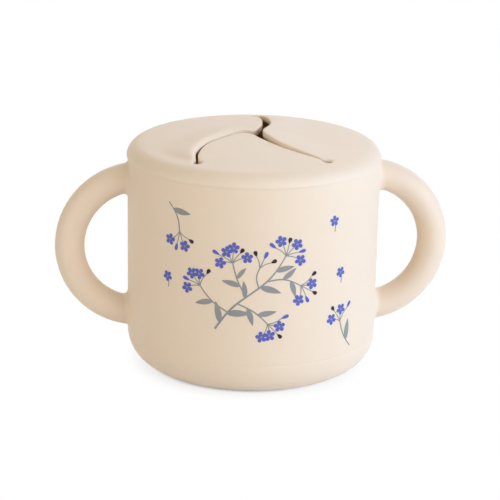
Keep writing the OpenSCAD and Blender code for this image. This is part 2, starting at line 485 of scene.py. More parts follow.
def cup_outline(cup):
    """The cup's section, from the middle of its underside round the rim to its floor."""
    flat = cup["rim_radius"] - CUP_TAPER - cup["corner_width"]
    corner, top, wall = cup["corner_height"], cup["rim_height"], cup["wall"]
    line = corner + LINE_GAP
    outside = [(flat * share, 0) for share in (0, 0.35, 0.7, 0.92)]
    outside += quarter((flat, corner), cup["corner_width"], corner, -90, 0, 18)
    for t in np.linspace(-1, 1, 9)[1:]:
        z = line + LINE_HALF * t
        dip = cup["line_depth"] * (0.5 + 0.5 * math.cos(math.pi * t))
        outside.append((wall_radius(cup, z) - dip, z))
    outside += [(wall_radius(cup, z), z) for z in np.linspace(line + 3, top - 3, 14)]
    r = cup["rim_radius"]
    outside += quarter((r - RIM_SOFT, top - RIM_SOFT), RIM_SOFT, RIM_SOFT, 0, 90, 5)
    inner = r - wall
    inward = quarter((inner + RIM_SOFT, top - RIM_SOFT), RIM_SOFT, RIM_SOFT, 90, 180, 5)
    inward += [(inner, z) for z in np.linspace(top - 4, corner + 3, 12)]
    inward += quarter(
        (flat, corner), inner - flat, corner - cup["floor"], 0, -90, 14)
    inward += [(flat * share, cup["floor"]) for share in (0.8, 0.4, 0)]
    return outside + inward


def handle_points(cup, handles, side):
    """Rings of points from the upper root to the lower one, each bent round the wall."""
    tube = handles["thickness"] / 2
    ring = handles["ring_radius"]
    centre_x = handles["reach"] - ring - tube

    def on_tube(phi, a):
        reach = ring + tube * math.cos(a)
        return Vector((centre_x + reach * math.cos(phi), tube * math.sin(a),
                       handles["height"] + reach * math.sin(phi)))

    def tube_normal(phi, a):
        return Vector((math.cos(a) * math.cos(phi), math.sin(a), math.cos(a) * math.sin(phi)))

    def to_wall(p, depth):
        r = wall_radius(cup, p.z) - depth
        flat = Vector((p.x, p.y, 0)).normalized() * r
        return Vector((flat.x, flat.y, p.z))

    roots = {}
    for up in (1, -1):
        shared = []
        for k in range(HANDLE_AROUND):
            a = 2 * math.pi * k / HANDLE_AROUND
            phi = 1.4  # a first guess, which each round brings closer to the wall
            for _ in range(6):
                p = on_tube(phi, a)
                z = p.z if up > 0 else 2 * handles["height"] - p.z
                wanted = math.sqrt(wall_radius(cup, z) ** 2 - p.y**2)
                phi = math.acos((wanted - centre_x) / (ring + tube * math.cos(a)))
            phi *= up
            w = on_tube(phi, a)
            out = Vector((w.x, w.y, 0)).normalized()
            normal = tube_normal(phi, a)
            along_wall = (normal - out * normal.dot(out)).normalized()
            fillet = handles["root"]
            if up * along_wall.z > 0:
                fillet -= ROOT_LOSS * abs(along_wall.z) * fillet
            start = to_wall(w + along_wall * fillet, ROOT_SUNK)
            turn = fillet / (ring + tube * math.cos(a))
            end = on_tube(phi - up * turn, a)
            shared.append((start, w, end, phi - up * turn))
        roots[up] = shared

    def fillet_ring(shared, t):
        made = []
        for start, corner, end, _ in shared:
            b = (1 - t) ** 2, 2 * t * (1 - t) * ROOT_PULL, t * t
            made.append((start * b[0] + corner * b[1] + end * b[2]) / sum(b))
        return made

    def buried(shared):
        return [to_wall(start, ROOT_BURIED) for start, _, _, _ in shared]

    top, low = roots[1], roots[-1]
    rings = [buried(top)]
    rings += [fillet_ring(top, t) for t in np.linspace(0, 1, ROOT_RINGS)]
    for t in np.linspace(0, 1, LOOP_RINGS)[1:-1]:
        rings.append([
            on_tube(top[k][3] + (low[k][3] - top[k][3]) * t, 2 * math.pi * k / HANDLE_AROUND)
            for k in range(HANDLE_AROUND)])
    rings += [fillet_ring(low, t) for t in np.linspace(1, 0, ROOT_RINGS)]
    rings.append(buried(low))
    return [[Vector((p.x * side, p.y, p.z)) for p in r] for r in rings]


def tube_mesh(rings, flip):
    """Points and faces of rings joined into a tube, with a fan over each end."""
    around = len(rings[0])
    points = [tuple(p) for r in rings for p in r]
    faces = []
    for j in range(len(rings) - 1):
        for k in range(around):
            n = (k + 1) % around
            faces.append((j * around + k, j * around + n,
                          (j + 1) * around + n, (j + 1) * around + k))
    for j, last in ((0, False), (len(rings) - 1, True)):
        hub = len(points)
        points.append(tuple(sum(rings[j], Vector()) / around))
        for k in range(around):
            n = (k + 1) % around
            a, b = j * around + k, j * around + n
            faces.append((a, b, hub) if last else (b, a, hub))
    if flip:
        faces = [tuple(reversed(f)) for f in faces]
    return points, faces


# The lid


LID_CORNER = (5.8, 5.0)  # how far the lid's rounded edge reaches in and up
CROWN_SLOPE = math.radians(8.4)  # where the crown meets the rounded edge
CORNER_TURN = math.atan(LID_CORNER[1] / (LID_CORNER[0] * math.tan(CROWN_SLOPE)))
PLUG_DEPTH = 6  # how far the ring under the lid reaches down into the cup
PLUG_CLEAR = 0.3  # between that ring and the wall
PLUG_T = 1.8  # thickness of that ring
PLUG_FILLET = 2  # rounding between that ring and the underside of the crown
PLATE_R = 37.9  # inside this radius the crown is a plate with the slits cut through it
FILLET_RUN = 1  # how far the plate reaches out over that rounding
# The lid's lower edge at the seam: steps in from its full radius, and up from its seat
SEAM_STEPS = [(RIM_SOFT, 0), (RIM_SOFT * 0.4, 0.05), (0.03, 0.16)]
SEAM_TOP = 0.4  # height over the seat from which the rounded edge goes on

FLAP_NAMES = ("front_flap", "right_flap", "left_flap")
FRONT, RIGHT, LEFT = 0, 1, 2

# The holes that end the slits, each at the start of one flap's edge: front left, front right
# and back
HOLES = [35.4 * np.array((math.cos(math.radians(a)), math.sin(math.radians(a))))
         for a in (-129.5, -53.8, 83)]

# The slits' middle lines: from the front left hole to the meeting point, and on from there
# to the front right hole
LEFT_SLIT = [(-22.3, -22.8), (-21.7, -18.3), (-20.5, -14.9), (-19.0, -11.6), (-17.2, -8.6),
             (-14.9, -5.8), (-12.3, -3.3), (-9.5, -0.7), (-7.0, 1.6), (-4.7, 2.9)]
RIGHT_SLIT = [(7.0, -14.4), (8.6, -16.7), (11.2, -19.7), (14.1, -22.7), (17.1, -25.4),
              (19.3, -27.3)]
# Each flap's free edge, from its own hole to the next one, with the flap on the right
FLAP_EDGES = {
    FRONT: LEFT_SLIT
    + [(-2.4, 2.6), (-0.6, 1.1), (0.6, -1.7), (1.7, -4.9), (2.9, -7.4), (4.2, -9.9),
       (5.5, -12.2)]
    + RIGHT_SLIT,
    RIGHT: RIGHT_SLIT[::-1]
    + [(5.4, -11.2), (4.0, -7.2), (2.9, -2.8), (2.9, 1.4), (4.2, 5.2), (5.7, 8.3),
       (6.9, 11.7), (7.6, 15.9), (7.8, 21.1), (7.5, 26.4), (6.7, 30.6), (5.8, 33.2)],
    LEFT: [(5.4, 33.2), (6.0, 30.5), (6.1, 25.9), (5.5, 19.4), (4.5, 13.3), (3.0, 8.2),
           (1.6, 4.7), (0.9, 3.0), (0.0, 2.2), (-1.2, 2.3), (-2.6, 2.9)]
    + LEFT_SLIT[::-1],
}
# What share of a flap's lift or sag its edge has at places along it. They are millimetres from
# the front right hole on the right flap and from the front left hole on the left one, and
# eightieths of the edge's length from the front left hole on the front one.
LIFTS = {
    FRONT: [(0, 0), (8, -0.6), (30, -1), (50, -1), (70, -0.5), (80, 0)],
    RIGHT: [(0, 0), (3.5, 0.3), (8, 0.45), (14, 0.65), (19, 0.85), (25, 1), (34, 1),
            (41, 0.85), (47, 0.8), (62, 0.75), (67, 0.5), (70, 0.2), (72, 0)],
    LEFT: [(0, 0), (3, 0.7), (7, 1), (22, 1), (31, 1.2), (34.4, 1.25), (35.8, 0.5),
           (40, 0.45), (43, 0.35), (50, 0.25), (60, 0.1), (78, 0)],
}
# Width and depth of the rounding along a slit
LIP = np.array((0.5, 0.4))
SHARP_LIP = np.array((0.15, 0.12))  # on the left flap, just past the meeting point
HOLE_LIP = np.array((0.95, 0.7))  # round the holes
WIDE_LIP = np.array((1.65, 1.3))  # on the left flap, along the left slit
END_LIP = np.array((0.9, 0.3))  # what the wide lip gains towards the meeting point
LOW_LIP = 0.5  # rounding of the lower edge along every slit
LIP_RINGS = 6

# Smooth changes along an edge, as (place, length), by the distance from the front left hole.
# What starts, widens or gains does so from its place on. What ends or narrows does so up to it.
LEFT_SLIT_NARROWS = 18, 9
MEETING_WIDENS, MEETING_NARROWS = (34, 2), (42, 3)
WIDE_LIP_STARTS, WIDE_LIP_GAINS, WIDE_LIP_ENDS = (0, 3.5), (22, 9), (35.8, 1.3)
SHARP_LIP_STARTS, SHARP_LIP_ENDS = (34.8, 1.2), (50, 2)
LEFT_SLIT_WIDER = 0.3  # what each side of the left slit gives at its start
MEETING_WIDER = 0.2  # what each side gives at the meeting point
DISH_LEVELS = 0.8, 3  # from this distance to a hole, and over this length, its dish levels out
HOLE_FLARE = 3.0  # length over which a slit widens into its hole
HOLE_STEPS = 14
EDGE_STEP = 0.42  # spacing of the points along a slit

# The line that parts a flap's piece from the lid's
LEAVES_AT = 0.9  # distance from the hinge line at which it leaves the slit
BORDER_START = 0.7
BORDER_STEP = 0.9
CLIMB_STEP = 0.6
BEND_CLEAR = 0.1  # how far past this line the bend zone that is worked out for a flap starts
LEAST_BEND = 0.6  # and how far past the hinge line at the least
HINGE_MIDDLE = 20  # place along a hinge line at which that bend zone is worked out
BEND_OVER = 7  # length of that bend zone

# The plate's inner points, in rows of triangles
SEED_STEP = 0.95
SEED_ROWS = 48
SEED_COLUMNS = 42
ROW_HEIGHT = 0.866
SEED_CLEAR = 0.5  # least distance from the slits and the border lines
RIM_CLEAR = 0.6  # and from the plate's edge

LIFT_REACH = 15  # how far from a slit the crown still rises with its edge
LIFT_FADE = 0.3, 5  # how far inside the plate's edge the rise is over, and over what length
LIFT_SPREAD = 0.8, 0.35  # smoothing of the lift at the slit, and what each millimetre adds


def crown(r):
    """Height of the crown's top surface."""
    edge_r = LID_R / MM - LID_CORNER[0] * (1 - math.cos(CORNER_TURN))
    edge_z = RIM_Z / MM + LID_CORNER[1] * math.sin(CORNER_TURN)
    bulge = edge_r * math.tan(CROWN_SLOPE) / 2
    return edge_z + bulge * (1 - (r / edge_r) ** 2)


def lid_profile(lid, cup):
    """The lid outside the plate, from under it, round the plug and the seat, to its top."""
    plug_out = cup["rim_radius"] - cup["wall"] - PLUG_CLEAR
    plug_in = plug_out - PLUG_T
    seat = cup["rim_height"]
    low = seat - PLUG_DEPTH
    flat_r = plug_in - PLUG_FILLET
    flat_z = crown(flat_r) - lid["thickness"]
    soft = PLUG_T / 3
    start = math.degrees(math.acos((PLATE_R - flat_r) / PLUG_FILLET))
    under = quarter((flat_r, flat_z - PLUG_FILLET), PLUG_FILLET, PLUG_FILLET, start, 0, 6)
    plug = [(plug_in, low + 2 * soft + 1)]
    plug += quarter((plug_in + soft, low + soft), soft, soft, 180, 270, 4)
    plug += quarter((plug_out - soft, low + soft), soft, soft, 270, 360, 4)
    plug += [(plug_out, seat - 1.5), (plug_out, seat), (plug_out + 1.2, seat)]
    r = lid["radius"]
    edge = [(r - back, seat + up) for back, up in SEAM_STEPS]
    edge += quarter((r - LID_CORNER[0], seat), LID_CORNER[0], LID_CORNER[1],
                    math.degrees(math.asin(SEAM_TOP / LID_CORNER[1])),
                    math.degrees(CORNER_TURN), 20)
    top = [(PLATE_R, crown(PLATE_R))]
    return under + plug + edge + top


def smooth(t):
    t = np.clip(t, 0, 1)
    return t * t * (3 - 2 * t)


def rise(at, start, over):
    """0 up to start, then smoothly to 1 over a length."""
    return smooth((at - start) / over)


def fade(at, end, over):
    """1, which falls smoothly to 0 at end over a length."""
    return smooth((end - at) / over)


class Plate:
    """The slit part of the crown, meshed as one sheet and then shared out.

    The cut is one closed loop: along each flap's edge to the next hole, round it, and on.
    A lip runs along the loop, between an outer line on the cut and an inner line."""

    def __init__(self, lid):
        self.lid = lid
        self.hinges = self.find_hinges()
        self.make_loop()
        self.make_borders()
        self.triangulate()

    def find_hinges(self):
        """For each flap: the hinge line's start by its hole, its heading, and into the flap."""
        lines = []
        for name, hole in zip(FLAP_NAMES, HOLES):
            joint = next(j for j in frame["joints"] if j["child"] == name)
            heading = np.array(joint["axis"][:2]) / np.linalg.norm(joint["axis"][:2])
            at = np.array(joint["pos_m"][:2]) / MM
            start = at + heading * np.dot(hole - at, heading)
            lines.append((start, heading, np.array((-heading[1], heading[0]))))
        return lines

    def to_hinge(self, i, points):
        """Distances along hinge line i from its hole, and from it into the flap."""
        start, heading, inward = self.hinges[i]
        return (points - start) @ heading, (points - start) @ inward

    def flap_edge(self, i):
        """The middle line of the slits along a flap, from its hole to the next one."""
        return spline([HOLES[i]] + FLAP_EDGES[i] + [HOLES[(i + 1) % 3]], EDGE_STEP)

    def make_loop(self):
        lid, gap, hole_r = self.lid, self.lid["slit_gap"] / 2, self.lid["hole_radius"]
        lifts = {FRONT: lid["front_sag"], RIGHT: lid["right_lift"], LEFT: lid["left_lift"]}
        cut, side, lift, lip, edge_range = [], [], [], [], {}
        for i in (FRONT, RIGHT, LEFT):
            after = (i + 1) % 3
            curve, run = self.flap_edge(i)
            normal = right_of(curve)
            length = run[-1]
            from_end = length - run
            to_hole = np.minimum(run, from_end)
            half = gap + (hole_r - gap) * np.cos(
                np.clip(to_hole / HOLE_FLARE, 0, 1) * math.pi / 2) ** 2
            if i != RIGHT:
                at = run if i == FRONT else from_end
                meeting = rise(at, *MEETING_WIDENS) * fade(at, *MEETING_NARROWS)
                half = np.maximum(half, gap + LEFT_SLIT_WIDER * fade(at, *LEFT_SLIT_NARROWS)
                                  + MEETING_WIDER * meeting)
            line = curve + normal * half[:, None]
            knots = np.array(LIFTS[i])
            place = {FRONT: run / length * 80, RIGHT: run, LEFT: from_end}[i]
            height = np.interp(place, knots[:, 0], knots[:, 1]) * lifts[i]
            wide = sharp = gain = np.zeros(len(run))
            if i == LEFT:
                gain = rise(from_end, *WIDE_LIP_GAINS)
                wide = rise(from_end, *WIDE_LIP_STARTS) * fade(from_end, *WIDE_LIP_ENDS)
                sharp = rise(from_end, *SHARP_LIP_STARTS) * fade(from_end, *SHARP_LIP_ENDS)
            first = len(cut)
            cut += list(line)
            side += [i] * len(line)
            lift += list(height)
            dished = 1 - rise(to_hole, *DISH_LEVELS)
            lip += list(LIP + (HOLE_LIP - LIP) * (dished * (1 - wide))[:, None]
                        + (WIDE_LIP - LIP) * wide[:, None]
                        + END_LIP * (wide * gain)[:, None]
                        + (SHARP_LIP - LIP) * sharp[:, None])
            edge_range[i] = (first, len(cut))
            leave = right_of(self.flap_edge(after)[0])[0]
            a0 = math.atan2(normal[-1][1], normal[-1][0])
            a1 = math.atan2(leave[1], leave[0])
            a1 += 2 * math.pi if a1 < a0 else 0
            for a in np.linspace(a0, a1, HOLE_STEPS)[1:-1]:
                cut.append(HOLES[after] + hole_r * np.array((math.cos(a), math.sin(a))))
                side.append(i if a < (a0 + a1) / 2 else after)
                lift.append(0)
                lip.append(HOLE_LIP)
        self.cut = np.array(cut)
        self.side = np.array(side)
        self.lift = np.array(lift)
        self.lip = np.array(lip)
        ahead = np.roll(self.cut, -1, 0) - np.roll(self.cut, 1, 0)
        ahead /= np.linalg.norm(ahead, axis=1)[:, None]
        into = np.stack([ahead[:, 1], -ahead[:, 0]], 1)
        for _ in range(2):  # smoothed twice, so that the inner line doesn't fold at corners
            into = into + 0.5 * (np.roll(into, 1, 0) + np.roll(into, -1, 0))
            into /= np.linalg.norm(into, axis=1)[:, None]
        self.inner = self.cut + into * self.lip[:, :1]
        self.edge_range = edge_range
        self.count = len(self.cut)

    def make_borders(self):
        """Where each flap's piece meets the lid's: a line along the hinge, out to the cut."""
        n = self.count
        around_hole = HOLE_STEPS - 2
        self.starts, self.ends, self.border, self.bend_from = {}, {}, {}, {}
        for i in (FRONT, RIGHT, LEFT):
            first, last = self.edge_range[i]
            near = [(first + k) % n for k in range(-around_hole - 1, around_hole + 2)]
            s, d = self.to_hinge(i, self.cut[near])
            self.starts[i] = near[int(np.argmin(np.abs(np.arctan2(d, s))))]
            walk = list(range(first + (last - first) // 2, last + around_hole))
            d = self.to_hinge(i, self.inner[[k % n for k in walk]])[1]
            low = np.nonzero(d <= LEAVES_AT)[0]
            at = int(low[0]) if len(low) else int(np.argmin(d))
            self.ends[i] = walk[at] % n
            s0, d0 = self.to_hinge(i, self.inner[self.starts[i]])
            s1, d1 = self.to_hinge(i, self.inner[self.ends[i]])
            start, heading, inward = self.hinges[i]
            middle = [start + heading * s for s in
                      np.linspace(s0 + BORDER_START, s1, int((s1 - s0) / BORDER_STEP))]
            climb = max(1, int(abs(d1) / CLIMB_STEP))
            middle += [start + heading * s1 + inward * d1 * k / climb
                       for k in range(1, climb)]
            self.border[i] = np.array(middle)
            ends = self.cut[[self.starts[i], self.ends[i]]]
            self.bend_from[i] = max(LEAST_BEND, self.to_hinge(i, ends)[1].max() + BEND_CLEAR,
                                    d0 + BEND_CLEAR, d1 + BEND_CLEAR)

    def loop_run(self, a, b):
        """The loop's points from a on to b."""
        n = self.count
        return [(a + k) % n for k in range((b - a) % n + 1)]

    def flap_polygon(self, i):
        """The closed outline of a flap's flat part."""
        edge = self.inner[self.loop_run(self.starts[i], self.ends[i])]
        return np.concatenate([edge, self.border[i][::-1]])

    def triangulate(self):
        """Mesh the plate outside the loop, and note which piece owns each triangle."""
        angles = np.arange(TURNS) * 2 * math.pi / TURNS
        circle = PLATE_R * np.stack([np.cos(angles), np.sin(angles)], 1)
        seeds = []
        for row in range(-SEED_ROWS, SEED_ROWS + 1):
            y = row * SEED_STEP * ROW_HEIGHT
            xs = (np.arange(-SEED_COLUMNS, SEED_COLUMNS + 1) * SEED_STEP
                  + (row % 2) * SEED_STEP / 2)
            seeds += [(x, y) for x in xs if math.hypot(x, y) < PLATE_R - RIM_CLEAR]
        seeds = np.array(seeds)
        fixed = np.concatenate([circle, self.inner] + [self.border[i] for i in range(3)])
        seeds = seeds[~inside(seeds, self.inner)]
        gap = np.min(np.linalg.norm(seeds[:, None] - fixed[None], axis=2), axis=1)
        seeds = seeds[gap > SEED_CLEAR]
        offset = {"inner": len(circle)}
        at = len(circle) + self.count
        chains = []
        for i in range(3):
            offset[i] = at
            ids = ([offset["inner"] + self.starts[i]]
                   + list(range(at, at + len(self.border[i])))
                   + [offset["inner"] + self.ends[i]])
            chains += list(zip(ids, ids[1:]))
            at += len(self.border[i])
        edges = [(k, (k + 1) % TURNS) for k in range(TURNS)]
        edges += [(offset["inner"] + k, offset["inner"] + (k + 1) % self.count)
                  for k in range(self.count)]
        edges += chains
        points = np.concatenate([fixed, seeds])
        found = delaunay_2d_cdt([Vector(p) for p in points], edges, [], 0, 1e-6)
        if len(found[0]) != len(points):
            raise RuntimeError("the slits' lines cross each other, so the crown has no mesh")
        back = [ids[0] for ids in found[3]]
        triangles = np.array([[back[v] for v in f] for f in found[2]])
        middle = points[triangles].mean(1)
        keep = ~inside(middle, self.inner)
        triangles, middle = triangles[keep], middle[keep]
        owner = np.full(len(triangles), -1)
        for i in range(3):
            owner[inside(middle, self.flap_polygon(i))] = i
        self.points, self.triangles, self.owner, self.offset = points, triangles, owner, offset
        side = self.sector(points)
        for i in range(3):
            side[np.unique(triangles[owner == i])] = i
            side[offset[i] : offset[i] + len(self.border[i])] = i
        side[offset["inner"] : offset["inner"] + self.count] = self.side
        self.point_side = side

    def sector(self, points):
        """Which flap each point lies nearest to, by its direction from the axis."""
        angle = np.degrees(np.arctan2(points[:, 1], points[:, 0])) % 360
        start = [math.degrees(math.atan2(h[1], h[0])) % 360 for h in HOLES]
        made = np.zeros(len(points), int)
        for i in range(3):
            width = (start[(i + 1) % 3] - start[i]) % 360
            made[(angle - start[i]) % 360 < width] = i
        return made

    def heights(self, points, side):
        """Top surface at points that belong to the given flaps' sides of the cut."""
        raised = np.zeros(len(points))
        for i in range(3):
            of_side = self.side == i
            mine = side == i
            if not mine.any():
                continue
            gap = np.linalg.norm(points[mine][:, None] - self.cut[of_side][None], axis=2)
            near = gap.min(1)
            spread = LIFT_SPREAD[0] + LIFT_SPREAD[1] * near
            weight = np.exp(-(gap**2 - near[:, None] ** 2) / (2 * spread[:, None] ** 2))
            level = (weight * self.lift[of_side][None]).sum(1) / weight.sum(1)
            share = 0.5 + 0.5 * np.cos(math.pi * np.clip(near / LIFT_REACH, 0, 1))
            raised[mine] = level * share
        r = np.linalg.norm(points, axis=1)
        raised *= fade(r, PLATE_R - LIFT_FADE[0], LIFT_FADE[1])
        return crown(r) + raised

    def underside(self, points, top):
        """The lower surface, with the rounding into the plug near the plate's edge."""
        r = np.linalg.norm(points, axis=1)
        flat_r = PLATE_R - FILLET_RUN
        over = np.maximum(0, r - flat_r)
        drop = np.sqrt(np.maximum(0, PLUG_FILLET**2 - over**2)) - PLUG_FILLET
        level = np.where(r > flat_r, crown(flat_r) - crown(r), 0)
        return top - self.lid["thickness"] + drop + level

    def lip_points(self, ids):
        """Rings of top and bottom points from the inner line to the cut, for loop points."""
        top, low = [], []
        inner, cut, lip = self.inner[ids], self.cut[ids], self.lip[ids]
        for j in range(LIP_RINGS + 1):
            t = math.pi / 2 * j / LIP_RINGS
            plan = inner + (cut - inner) * math.sin(t)
            z = self.heights(plan, self.side[ids])
            drop = lip[:, 1] * (j / LIP_RINGS) ** 1.5
            under = self.underside(plan, z) + LOW_LIP * (1 - math.cos(t))
            top.append(np.column_stack([plan, z - drop]))
            low.append(np.column_stack([plan, under]))
        return top, low

    def build(self, owner, profile=None):
        """Points and faces of one piece: a flap, or with -1 the rest of the lid.

        The rest of the lid goes on from the plate's edge round a profile of (r, z)."""
        triangles = self.triangles[self.owner == owner]
        used = np.unique(triangles)
        z = self.heights(self.points[used], self.point_side[used])
        low = self.underside(self.points[used], z)
        points = [tuple(p) for p in np.column_stack([self.points[used], z])]
        points += [tuple(p) for p in np.column_stack([self.points[used], low])]
        top_id = {v: k for k, v in enumerate(used)}
        low_id = {v: k + len(used) for k, v in enumerate(used)}
        faces = []
        for a, b, c in triangles:
            p, q, r = self.points[a], self.points[b], self.points[c]
            if (q[0] - p[0]) * (r[1] - p[1]) - (q[1] - p[1]) * (r[0] - p[0]) < 0:
                b, c = c, b
            faces.append((top_id[a], top_id[b], top_id[c]))
            faces.append((low_id[c], low_id[b], low_id[a]))
        if owner >= 0:
            runs = [self.loop_run(self.starts[owner], self.ends[owner])]
        else:
            runs = [self.loop_run(self.ends[i], self.starts[(i + 1) % 3]) for i in range(3)]
        columns = {}
        inner_at = self.offset["inner"]
        for run in runs:
            top, low = self.lip_points(run)
            for n, k in enumerate(run):
                column = [(top_id[inner_at + k], low_id[inner_at + k])]
                for j in range(1, LIP_RINGS + 1):
                    column.append((len(points), len(points) + 1))
                    points.append(tuple(top[j][n]))
                    points.append(tuple(low[j][n]))
                columns[k] = column
            for k, after in zip(run, run[1:]):
                a, b = columns[k], columns[after]
                for j in range(LIP_RINGS):
                    faces.append((a[j][0], b[j][0], b[j + 1][0], a[j + 1][0]))
                    faces.append((a[j + 1][1], b[j + 1][1], b[j][1], a[j][1]))
                faces.append((a[-1][0], b[-1][0], b[-1][1], a[-1][1]))
        for i in ([owner] if owner >= 0 else range(3)):
            path = columns[self.starts[i]][::-1]
            path += [(top_id[v], low_id[v]) for v in
                     range(self.offset[i], self.offset[i] + len(self.border[i]))]
            path += columns[self.ends[i]]
            for a, b in zip(path, path[1:]):
                wall = (a[0], a[1], b[1], b[0])
                faces.append(wall if owner >= 0 else wall[::-1])
        if profile:
            rings = [[low_id[v] for v in range(TURNS)]]
            for r, level in profile[1:-1]:
                rings.append(list(range(len(points), len(points) + TURNS)))
                points += [(r * math.cos(a), r * math.sin(a), level)
                           for a in np.arange(TURNS) * 2 * math.pi / TURNS]
            rings.append([top_id[v] for v in range(TURNS)])
            for one, other in zip(rings, rings[1:]):
                for k in range(TURNS):
                    n = (k + 1) % TURNS
                    faces.append((one[k], one[n], other[n], other[k]))
        return points, faces


# The print: a generic pattern of round blossoms, buds, oval leaves and berries


def turned(points, turn, at):
    """Points turned by an angle in degrees and then moved to a place."""
    c, s = math.cos(math.radians(turn)), math.sin(math.radians(turn))
    return [(at[0] + x * c - y * s, at[1] + x * s + y * c) for x, y in points]


def leaf_outline(length, width, curl):
    """A pointed oval whose tip bends to one side by curl."""
    made = []
    for t in list(np.linspace(0, 1, 15)) + list(np.linspace(1, 0, 15)[1:-1]):
        side = 1 if len(made) < 15 else -1
        half = width / 2 * math.sin(math.pi * t**0.8) ** 0.85
        made.append((length * t, curl * t * t + side * half))
    return made


def blossom_outline(radius, petals):
    """Rounded petals with notches between them."""
    made = []
    for k in range(petals * 10):
        wave = math.cos(petals * math.pi * k / (petals * 10))
        r = radius * (0.42 + 0.58 * abs(wave) ** 0.55)
        a = 2 * math.pi * k / (petals * 10)
        made.append((r * math.cos(a), r * math.sin(a)))
    return made


def drop_outline(length, width):
    """A bud or berry: round at its far end and narrow where it joins its stalk."""
    return [(length * (0.5 - 0.5 * math.cos(a)),
             width / 2 * math.sin(a) * (1 - 0.45 * math.cos(a)) / 1.1)
            for a in np.linspace(0, 2 * math.pi, 25)[:-1]]


class Print:
    """Collects printed shapes by ink, as closed films that follow the cup's wall.

    A place on the wall is (u, z): millimetres round from the front, and up."""

    LEVEL = {"grey": 0.05, "blue": 0.065, "dark": 0.08}  # how far each ink stands off the wall
    STEM_LOWER = 0.015  # how much lower the stems lie than the leaves
    HEART_LIFT = 0.035  # how much higher the blossoms' middles lie
    BURIED = -0.03
    CURL = 0.12  # how far a leaf's tip bends aside, as a share of its length
    STALK = (0.36, 0.26)
    BUD = (2.7, 1.25)
    BERRY = (2.0, 1.35)

    def __init__(self, cup):
        self.cup = cup
        self.films = {name: ([], []) for name in self.LEVEL}

    def on_wall(self, u, z, level):
        """The point at a height over a place on the wall."""
        r = wall_radius(self.cup, z) + level
        a = -math.pi / 2 + u / self.cup["rim_radius"]
        return r * math.cos(a), r * math.sin(a), z

    def film(self, ink_name, outline, centre, lift=0):
        """A patch that widens from its centre through a middle ring, closed behind."""
        points, faces = self.films[ink_name]
        n = len(outline)
        area = sum(a[0] * b[1] - b[0] * a[1]
                   for a, b in zip(outline, outline[1:] + outline[:1]))
        outline = outline if area > 0 else outline[::-1]
        middle = [((x + centre[0]) / 2, (z + centre[1]) / 2) for x, z in outline]
        first = len(points)
        for level in (self.LEVEL[ink_name] + lift, self.BURIED):
            points += [self.on_wall(*p, level) for p in outline]
            points += [self.on_wall(*p, level) for p in middle]
            points.append(self.on_wall(*centre, level))
        size = 2 * n + 1
        for k in range(n):
            m = (k + 1) % n
            for base, flip in ((first, False), (first + size, True)):
                quad = (base + k, base + m, base + n + m, base + n + k)
                tip = (base + n + k, base + n + m, base + 2 * n)
                faces.append(quad[::-1] if flip else quad)
                faces.append(tip[::-1] if flip else tip)
            faces.append((first + k, first + size + k, first + size + m, first + m))

    def stem(self, path, widths):
        """A tapering closed strip along a path; gives back its curve."""
        curve, run = spline(path, 0.7)
        normal = right_of(curve)
        half = np.interp(run, np.linspace(0, run[-1], len(widths)), widths) / 2
        sides = [curve + normal * half[:, None], curve - normal * half[:, None]]
        points, faces = self.films["grey"]
        first, n = len(points), len(curve)
        for level in (self.LEVEL["grey"] - self.STEM_LOWER, self.BURIED):
            for side in sides:
                points += [self.on_wall(*p, level) for p in side]
        size = 2 * n
        for k in range(n - 1):
            a, b, c, d = first + k, first + k + 1, first + n + k + 1, first + n + k
            faces.append((a, b, c, d))
            faces.append((d + size, c + size, b + size, a + size))
            faces.append((a, a + size, b + size, b))
            faces.append((c, c + size, d + size, d))
        for a, d in ((first + n, first), (first + n - 1, first + 2 * n - 1)):
            faces.append((a, a + size, d + size, d))
        return curve

    def leaf(self, at, turn, length, curl):
        outline = leaf_outline(length, 0.3 * length, curl * length)
        self.film("grey", turned(outline, turn, at),
                  turned([(length * 0.45, curl * length * 0.2)], turn, at)[0])

    def blossom(self, at, turn, radius=2.0):
        self.film("blue", turned(blossom_outline(radius, 5), turn, at), at)
        heart = [(radius * 0.2 * math.cos(a), radius * 0.2 * math.sin(a))
                 for a in np.linspace(0, 2 * math.pi, 13)[:-1]]
        self.film("grey", turned(heart, 0, at), at, self.HEART_LIFT)

    def drop(self, ink_name, at, turn, length, width):
        self.film(ink_name, turned(drop_outline(length, width), turn, at),
                  turned([(length * 0.6, 0)], turn, at)[0])

    def umbel(self, at, turn, reach, kinds):
        """Stalks fanned out from one point: f ends in a flower, b a bud and d a dark berry."""
        for k, kind in enumerate(kinds):
            lean = 0 if len(kinds) == 1 else 2 * k / (len(kinds) - 1) - 1
            angle = turn + lean * 24 * (len(kinds) - 1) ** 0.75
            length = reach * (0.82 if k % 2 else 1)
            end = turned([(length, 0)], angle, at)[0]
            mid = turned([(length * 0.5, -0.08 * length * lean)], angle, at)[0]
            self.stem([at, mid, end], self.STALK)
            if kind == "f":
                self.blossom(end, angle + 36 * k)
            elif kind == "b":
                self.drop("blue", end, angle, *self.BUD)
            else:
                self.drop("dark", end, angle, *self.BERRY)

    def branch(self, path, leaves, umbel=None, widths=(0.75, 0.6, 0.4)):
        """A stem with leaves at (share of its length, angle, length) and an umbel at its end."""
        curve = self.stem(path, widths)
        for share, angle, length in leaves:
            k = min(len(curve) - 2, int(share * (len(curve) - 1)))
            ahead = curve[k + 1] - curve[k]
            heading = math.degrees(math.atan2(ahead[1], ahead[0]))
            self.leaf(curve[k], heading + angle, length, self.CURL if angle > 0 else -self.CURL)
        if umbel:
            ahead = curve[-1] - curve[-2]
            self.umbel(curve[-1], math.degrees(math.atan2(ahead[1], ahead[0])), *umbel)


TWIG = (0.5, 0.4)  # width of a twig's stem at its root and at its end
SPRIG = (0.4, 0.5)


